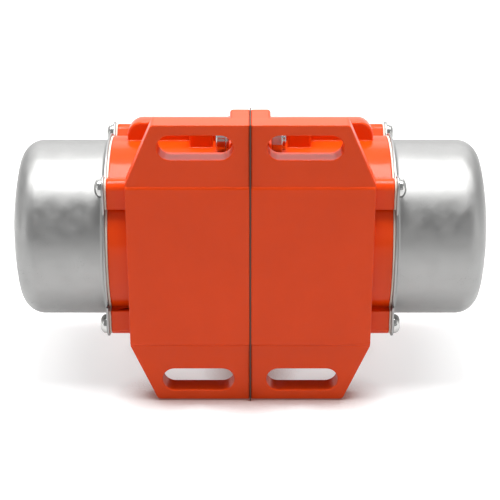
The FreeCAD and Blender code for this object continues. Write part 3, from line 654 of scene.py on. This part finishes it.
def roomyEdges(edges, width, share):
    # An inner corner on a face too narrow for its round stays as it is
    kept = []
    for edge in edges:
        narrowest = min(face.calc_area() for face in edge.link_faces)
        if edge.is_convex or narrowest > share * width * mm * edge.calc_length():
            kept.append(edge)
    return kept


def addRounded(look, node, width):
    mesh = weldedCopy(node, slotCentres.get(node))
    edges = roomyEdges(sharpEdges(mesh, look["sharpFrom"]), width, look["roomShare"])
    roundEdges(mesh, edges, width, look["segments"])
    finishPiece(mesh, node, "-rounded")


for roundedNode, roundWidth in edgeRounds.items():
    addRounded(roundedLook, roundedNode, roundWidth)
print("rounded pieces made:", len(edgeRounds))


# End covers: a cup drawn from sheet, with a bend at its root, on a flat flange with four ears
coverLook = {"flangeWidth": 2.6, "sheet": 1.0, "rootRadius": 1.5, "rootSteps": 6,
             "cornerRadius": 9.0, "cornerSteps": 16, "domeRadius": 130.0, "domeSteps": 8,
             "edgeFrom": 60, "edgeRound": 0.25, "edgeSegments": 2,
             "overlap": 0.6, "proud": 0.02, "sides": 128}


def startLine(mesh, x, radius):
    return mesh.verts.new((x, 0, radius))


def lineOn(mesh, end, x, radius):
    grown = bmesh.ops.extrude_vert_indiv(mesh, verts=[end])
    tip = grown["verts"][0]
    tip.co = (x, 0, radius)
    return tip


def arcOn(mesh, end, centreX, centreRadius, degrees, steps):
    grown = bmesh.ops.spin(mesh, geom=[end], cent=(centreX, 0, centreRadius), axis=(0, 1, 0),
                           dvec=(0, 0, 0), angle=math.radians(degrees), steps=steps,
                           use_merge=False)
    return newVerts(grown["geom_last"])[0]


def spinWhole(mesh, sides):
    # The line turns once round the X axis, and its seam and poles are joined
    gap = pieceLook["poleGap"] * mm
    bmesh.ops.spin(mesh, geom=mesh.verts[:] + mesh.edges[:], cent=(0, 0, 0), axis=(1, 0, 0),
                   dvec=(0, 0, 0), angle=math.radians(360), steps=sides, use_merge=True)
    bmesh.ops.remove_doubles(mesh, verts=mesh.verts, dist=gap)
    bmesh.ops.dissolve_degenerate(mesh, edges=mesh.edges, dist=gap)
    bmesh.ops.recalc_face_normals(mesh, faces=mesh.faces)


def makeCup(look, flangeX, endX, radius):
    # The outside of the cup, from the flange over root and corner to the middle of the end
    mesh = bmesh.new()
    rootRadius = look["rootRadius"] * mm
    cornerRadius = look["cornerRadius"] * mm
    domeRadius = look["domeRadius"] * mm
    domeX = endX - domeRadius
    reach = domeRadius - cornerRadius
    cornerX = domeX + math.sqrt(reach ** 2 - (radius - cornerRadius) ** 2)
    lean = math.degrees(math.asin((radius - cornerRadius) / reach))
    rootX = flangeX + look["proud"] * mm
    end = startLine(mesh, rootX, radius + rootRadius + look["overlap"] * mm)
    end = lineOn(mesh, end, rootX, radius + rootRadius)
    end = arcOn(mesh, end, rootX + rootRadius, radius + rootRadius, -90, look["rootSteps"])
    end = lineOn(mesh, end, cornerX, radius)
    end = arcOn(mesh, end, cornerX, radius - cornerRadius, 90 - lean, look["cornerSteps"])
    arcOn(mesh, end, domeX, 0, lean, look["domeSteps"])
    spinWhole(mesh, look["sides"])
    return mesh


def addCover(look, side, node):
    low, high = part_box(node)
    sheet = look["sheet"] * mm
    flangeX = min(abs(low.x), abs(high.x)) + sheet
    endX = max(abs(low.x), abs(high.x))
    flange = weldedCopy(node)
    bmesh.ops.bisect_plane(flange, geom=flange.verts[:] + flange.edges[:] + flange.faces[:],
                           dist=pieceLook["cutGap"] * mm, plane_co=(side * flangeX, 0, 0),
                           plane_no=(side, 0, 0), clear_outer=True)
    edges = sharpEdges(flange, look["edgeFrom"])
    roundEdges(flange, edges, look["edgeRound"], look["edgeSegments"])
    cup = makeCup(look, flangeX, endX, high.z - look["flangeWidth"] * mm)
    bmesh.ops.solidify(cup, geom=cup.faces[:], thickness=sheet)
    bmesh.ops.scale(cup, vec=(side, 1, 1), verts=cup.verts)
    bmesh.ops.translate(cup, vec=(0, shaftY, 0), verts=cup.verts)
    if side < 0:
        bmesh.ops.reverse_faces(cup, faces=cup.faces)
    shape = storeMesh("cupShape", cup)
    flange.from_mesh(shape)
    bpy.data.meshes.remove(shape)
    finishPiece(flange, node, "-drawn")


addCover(coverLook, 1, "right_cover")
addCover(coverLook, -1, "left_cover")
print("covers made")


# Cover screws: pan heads with a cross recess on a plain shank, worked out in millimetres
screwLook = {"headRadius": 4.0, "headHeight": 3.1, "edgeHeight": 0.45, "edgeRound": 0.2,
             "fullness": 2.3, "domeSteps": 8, "recessRim": 2.2, "recessReach": 2.0,
             "recessWidth": 0.95, "recessDepth": 1.5, "recessTaper": 0.6, "shankRadius": 2.0,
             "shankTip": 0.5, "sides": 36, "firstTurn": 17, "nextTurn": 38}


def domeHeight(look, across):
    # How high the full dome stands over the flange, this far from its middle
    spread = 1 - (across / look["headRadius"]) ** look["fullness"]
    rise = look["headHeight"] - look["edgeHeight"]
    return look["edgeHeight"] + rise * spread ** (1 / look["fullness"])


def addCross(mesh, look):
    # A grid of nine squares without its corners, sunk and narrowed towards the recess's floor
    reach, half = look["recessReach"], look["recessWidth"] / 2
    taper = look["recessTaper"]
    grid = bmesh.ops.create_grid(mesh, x_segments=3, y_segments=3, size=reach)
    for vert in grid["verts"]:
        places = [math.copysign(reach if abs(part) > reach / 2 else half, part)
                  for part in vert.co.xy]
        vert.co = (*places, domeHeight(look, math.hypot(*places)))
    corners = [face for face in mesh.faces
               if min(map(abs, face.calc_center_median().xy)) > half]
    bmesh.ops.delete(mesh, geom=corners, context="FACES")
    top = mesh.faces[:]
    floor = newVerts(bmesh.ops.extrude_face_region(mesh, geom=top)["geom"])
    bmesh.ops.delete(mesh, geom=[face for face in top if face.is_valid], context="FACES_ONLY")
    bmesh.ops.scale(mesh, vec=(taper, taper, 0), verts=floor)
    bmesh.ops.translate(mesh, vec=(0, 0, look["headHeight"] - look["recessDepth"]), verts=floor)
    loose = [edge for edge in mesh.edges if not edge.link_faces]
    bmesh.ops.delete(mesh, geom=loose, context="EDGES")


def makeScrew(look, shankLength):
    # The head's axis is X here, and its seat is at X = 0
    mesh = bmesh.new()
    headRadius = look["headRadius"]
    end = startLine(mesh, -shankLength, 0)
    for x, radius in ((-shankLength, look["shankRadius"] - look["shankTip"]),
                      (look["shankTip"] - shankLength, look["shankRadius"]),
                      (0, look["shankRadius"]),
                      (0, headRadius - look["edgeRound"]),
                      (look["edgeRound"], headRadius),
                      (look["edgeHeight"], headRadius)):
        end = lineOn(mesh, end, x, radius)
    for step in range(1, look["domeSteps"] + 1):
        inward = (step / look["domeSteps"]) ** 2 * (headRadius - look["recessRim"])
        across = headRadius - inward
        end = lineOn(mesh, end, domeHeight(look, across), across)
    spinWhole(mesh, look["sides"])
    cross = bmesh.new()
    addCross(cross, look)
    upright = Matrix.Rotation(math.radians(90), 3, "Y")
    bmesh.ops.rotate(cross, cent=(0, 0, 0), matrix=upright, verts=cross.verts)
    shape = storeMesh("crossShape", cross)
    mesh.from_mesh(shape)
    bpy.data.meshes.remove(shape)
    bmesh.ops.bridge_loops(mesh, edges=[edge for edge in mesh.edges if edge.is_boundary])
    bmesh.ops.recalc_face_normals(mesh, faces=mesh.faces)
    return mesh


def addCoverScrews(look, side, node):
    low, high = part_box(node)
    seatX = side * (max(abs(low.x), abs(high.x)) / mm - look["headHeight"])
    shankLength = (high.x - low.x) / mm - look["headHeight"]
    shape = storeMesh("screwShape", makeScrew(look, shankLength))
    screws = bmesh.new()
    corners = ((low.y, low.z), (low.y, high.z), (high.y, low.z), (high.y, high.z))
    for index, (y, z) in enumerate(corners):
        inward = [math.copysign(look["headRadius"], centre - part / mm)
                  for part, centre in ((y, shaftY / mm), (z, 0))]
        turn = math.radians(look["firstTurn"] + look["nextTurn"] * index)
        before = len(screws.verts)
        screws.from_mesh(shape)
        screws.verts.ensure_lookup_table()
        fresh = screws.verts[before:]
        bmesh.ops.rotate(screws, cent=(0, 0, 0), verts=fresh, matrix=Matrix.Rotation(turn, 3, "X"))
        bmesh.ops.scale(screws, vec=(side, 1, 1), verts=fresh)
        bmesh.ops.translate(screws, vec=(seatX, y / mm + inward[0], z / mm + inward[1]),
                            verts=fresh)
    bpy.data.meshes.remove(shape)
    bmesh.ops.scale(screws, vec=(mm, mm, mm), verts=screws.verts)
    bmesh.ops.recalc_face_normals(screws, faces=screws.faces)
    finishPiece(screws, node, "-domed")


addCoverScrews(screwLook, 1, "right_cover_screws")
addCoverScrews(screwLook, -1, "left_cover_screws")
print("cover screws made")


def dressNode(name):
    data = nodes[name].data
    data.materials.clear()
    data.materials.append(lookOf(name))


for nodeName in slotOf:
    dressNode(nodeName)
print("nodes dressed:", len(slotOf))


bpy.context.scene.view_settings.view_transform = "Standard"
